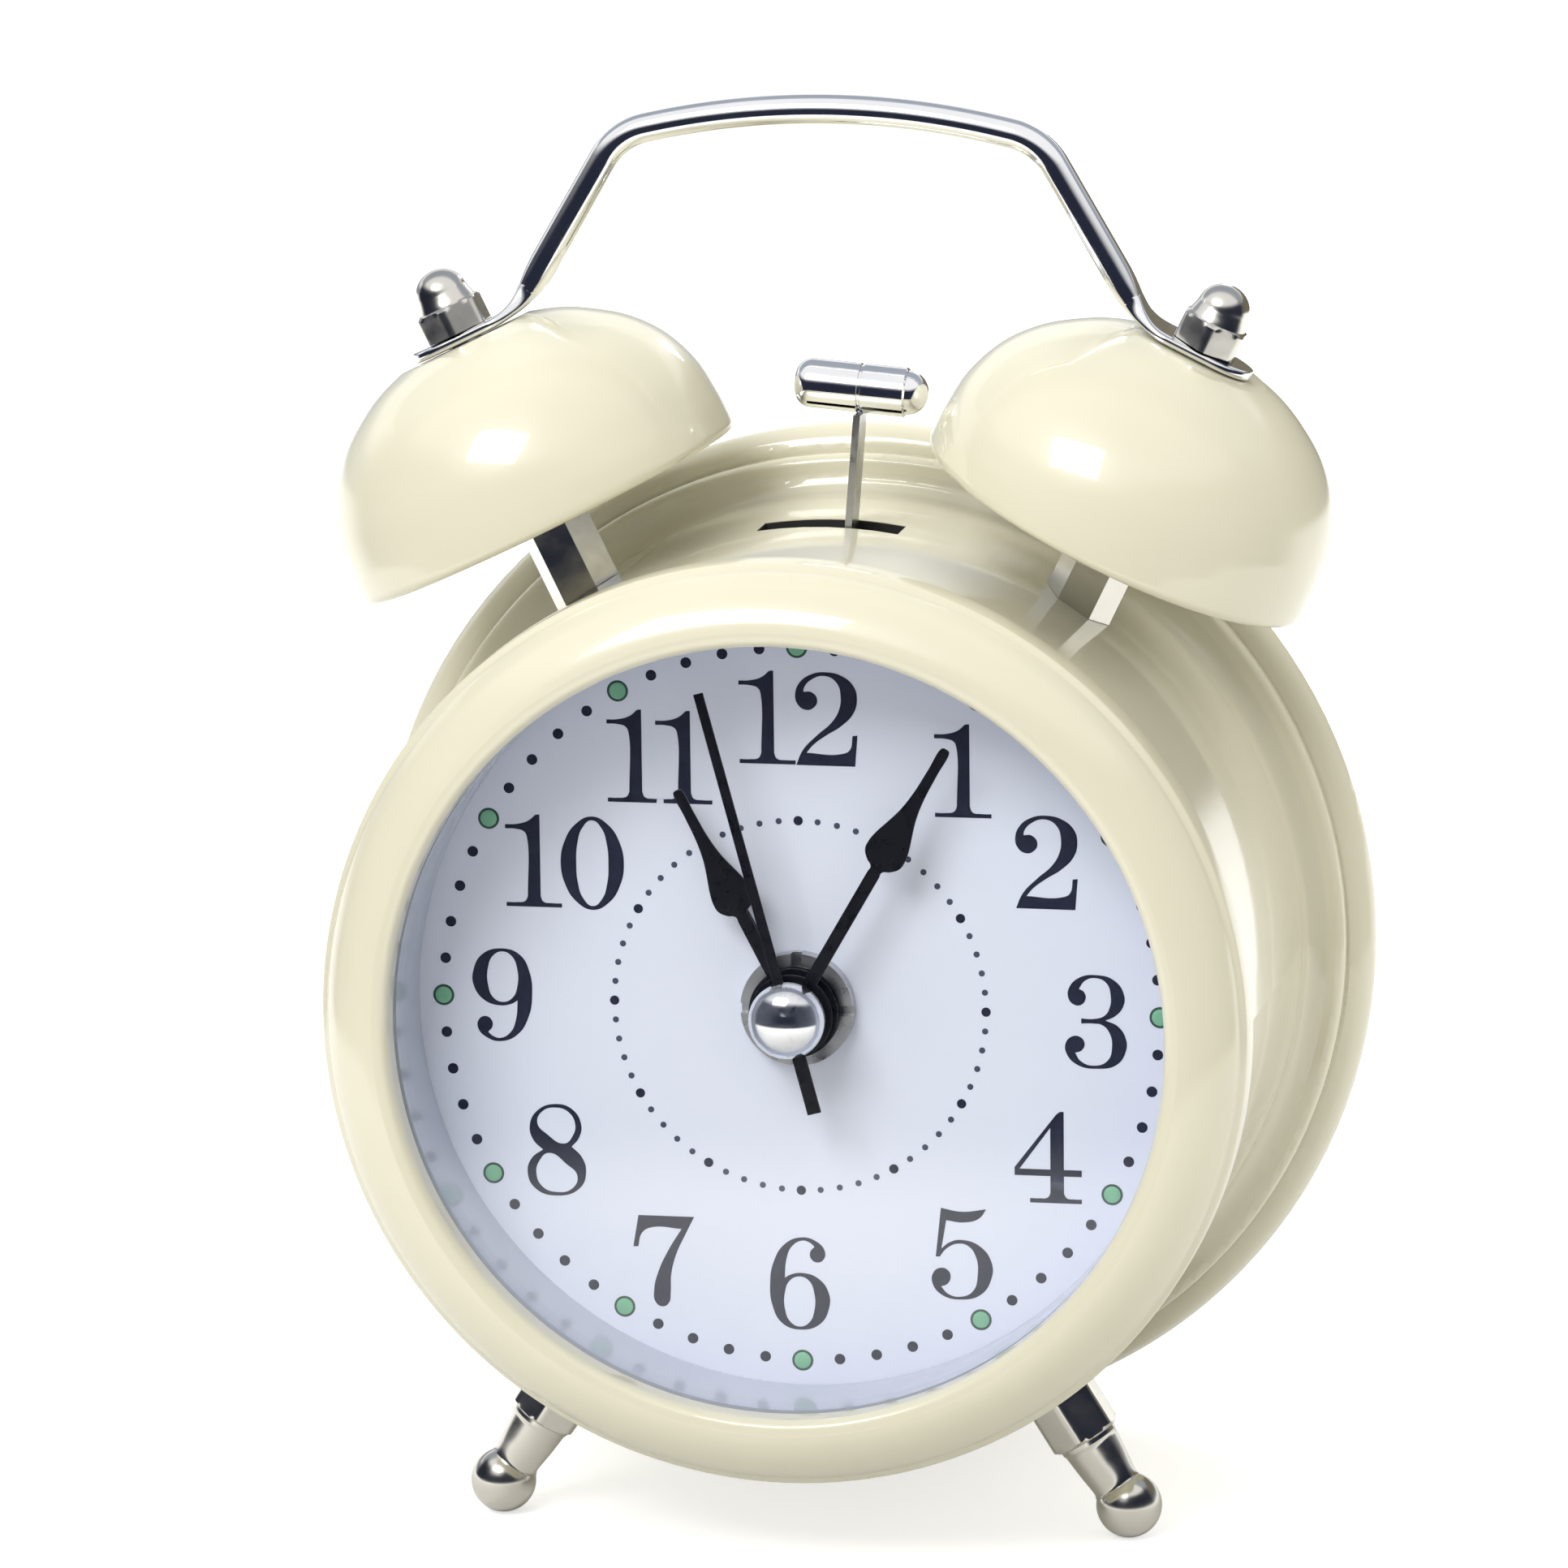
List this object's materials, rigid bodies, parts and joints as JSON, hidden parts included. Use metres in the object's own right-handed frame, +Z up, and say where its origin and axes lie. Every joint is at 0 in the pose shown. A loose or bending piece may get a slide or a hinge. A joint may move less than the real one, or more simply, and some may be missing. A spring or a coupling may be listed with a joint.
{
  "type": "twin bell alarm clock",
  "caption": "Round desk alarm clock with enamelled case, two dome bells under a wire carrying handle, a hammer between them, spade hands under glass and two ball feet",
  "frame": {"origin": "middle of the bounding box in x and y, on the floor that the two feet and the rear bead stand on", "axes": "+X to the right seen from the front, +Y to the back, +Z up; the dial faces -Y and leans back four degrees"},
  "size_m": [0.09, 0.058, 0.1226],
  "materials": {
    "enamel": "gloss cream enamel",
    "chrome": "polished",
    "steel": "zinc plated",
    "dial_print": "matte pale print",
    "dial_ring_white": "gloss white",
    "glass": "clear",
    "hand_black": "gloss black",
    "movement_plastic": "moulded",
    "cover_plastic": "fine grain",
    "knob_plastic": "satin",
    "gear_plastic": "natural acetal",
    "pinion_brass": "cut",
    "coil_wire": "enamelled copper winding",
    "board": "solder mask",
    "cell_sleeve": "plain sleeve"
  },
  "bodies": {
    "case": {"case_shell": "enamel", "bezel": "enamel", "lens": "glass", "dial_ring": "dial_ring_white", "dial": "dial_print", "dial_nut": "chrome", "movement_front": "movement_plastic", "movement_rear": "movement_plastic", "movement_screws": "steel", "stator": "steel", "coil": "coil_wire", "circuit_board": "board", "crystal": "steel", "striker_plate": "steel", "striker_pillars": "steel", "striker_screws": "steel", "hammer_pin": "steel", "crank_axle": "steel", "striker_motor": "steel", "rear_cover": "cover_plastic", "cover_screws": "steel", "battery": "cell_sleeve", "contact_spring": "steel", "contact_plate": "steel", "switch_body": "movement_plastic", "bell_left": "enamel", "bell_right": "enamel", "bell_post_left": "chrome", "bell_post_right": "chrome", "acorn_nuts": "chrome", "handle": "chrome", "leg_left": "chrome", "leg_right": "chrome", "stud_nuts": "steel"},
    "second": {"second_wheel": "gear_plastic", "second_hand": "hand_black", "second_cap": "chrome"},
    "minute": {"centre_wheel": "gear_plastic", "minute_hand": "hand_black"},
    "hour": {"hour_wheel": "gear_plastic", "hour_hand": "hand_black"},
    "alarm": {"alarm_wheel": "gear_plastic", "alarm_hand": "hand_black"},
    "time_set": {"motion_wheel": "gear_plastic", "time_knob": "knob_plastic"},
    "alarm_set": {"alarm_pinion": "gear_plastic", "alarm_knob": "knob_plastic"},
    "third": {"third_wheel": "gear_plastic"},
    "step": {"step_wheel": "gear_plastic"},
    "rotor_shaft": {"rotor": "gear_plastic"},
    "crank": {"crank_wheel": "gear_plastic"},
    "motor_shaft": {"motor_pinion": "pinion_brass"},
    "hammer": {"hammer_arm": "steel", "hammer_head": "chrome"},
    "switch": {"switch_slider": "knob_plastic"},
    "door": {"battery_door": "cover_plastic"}
  },
  "joints": [
    {"name": "second_spin", "type": "hinge", "parent": "case", "child": "second", "pos_m": [0, -0.01297, 0.04732], "axis": [0, 0.9976, -0.0696], "continuous": true},
    {"name": "minute_spin", "type": "hinge", "parent": "case", "child": "minute", "pos_m": [0, -0.01297, 0.04732], "axis": [0, 0.9976, -0.0696], "continuous": true},
    {"name": "hour_spin", "type": "hinge", "parent": "case", "child": "hour", "pos_m": [0, -0.01297, 0.04732], "axis": [0, 0.9976, -0.0696], "continuous": true},
    {"name": "alarm_spin", "type": "hinge", "parent": "case", "child": "alarm", "pos_m": [0, -0.01297, 0.04732], "axis": [0, 0.9976, -0.0696], "continuous": true},
    {"name": "time_knob_spin", "type": "hinge", "parent": "case", "child": "time_set", "pos_m": [0.012, -0.01297, 0.04732], "axis": [0, 0.9976, -0.0696], "continuous": true},
    {"name": "alarm_knob_spin", "type": "hinge", "parent": "case", "child": "alarm_set", "pos_m": [-0.013, -0.01297, 0.04732], "axis": [0, 0.9976, -0.0696], "continuous": true},
    {"name": "third_spin", "type": "hinge", "parent": "case", "child": "third", "pos_m": [0, -0.01222, 0.0581], "axis": [0, 0.9976, -0.0696], "continuous": true},
    {"name": "step_spin", "type": "hinge", "parent": "case", "child": "step", "pos_m": [0, -0.01373, 0.03655], "axis": [0, 0.9976, -0.0696], "continuous": true},
    {"name": "rotor_spin", "type": "hinge", "parent": "case", "child": "rotor_shaft", "pos_m": [-0.00594, -0.01414, 0.03062], "axis": [0, 0.9976, -0.0696], "continuous": true},
    {"name": "crank_spin", "type": "hinge", "parent": "case", "child": "crank", "pos_m": [0, 0.00565, 0.05204], "axis": [0, 0.9976, -0.0696], "continuous": true},
    {"name": "motor_spin", "type": "hinge", "parent": "case", "child": "motor_shaft", "pos_m": [0.0096, 0.00621, 0.06002], "axis": [0, 0.9976, -0.0696], "continuous": true},
    {"name": "hammer_swing", "type": "hinge", "parent": "case", "child": "hammer", "pos_m": [0, 0.00424, 0.06417], "axis": [0, 0.9976, -0.0696], "range_deg": [-11.8, 2.2]},
    {"name": "switch_slide", "type": "slide", "parent": "case", "child": "switch", "axis": [1, 0, 0], "range_m": [0, 0.005]},
    {"name": "door_slide", "type": "slide", "parent": "case", "child": "door", "axis": [0, 0.9976, -0.0696], "range_m": [0, 0.015]}
  ],
  "couplings": [
    {"joint": "minute_spin", "follows": "second_spin", "ratio": 0.016667},
    {"joint": "hour_spin", "follows": "second_spin", "ratio": 0.0013889},
    {"joint": "time_knob_spin", "follows": "second_spin", "ratio": -0.0055556},
    {"joint": "third_spin", "follows": "second_spin", "ratio": -0.13333},
    {"joint": "step_spin", "follows": "second_spin", "ratio": -5},
    {"joint": "rotor_spin", "follows": "second_spin", "ratio": 30},
    {"joint": "alarm_spin", "follows": "alarm_knob_spin", "ratio": -0.44444},
    {"joint": "motor_spin", "follows": "crank_spin", "ratio": -4}
  ]
}
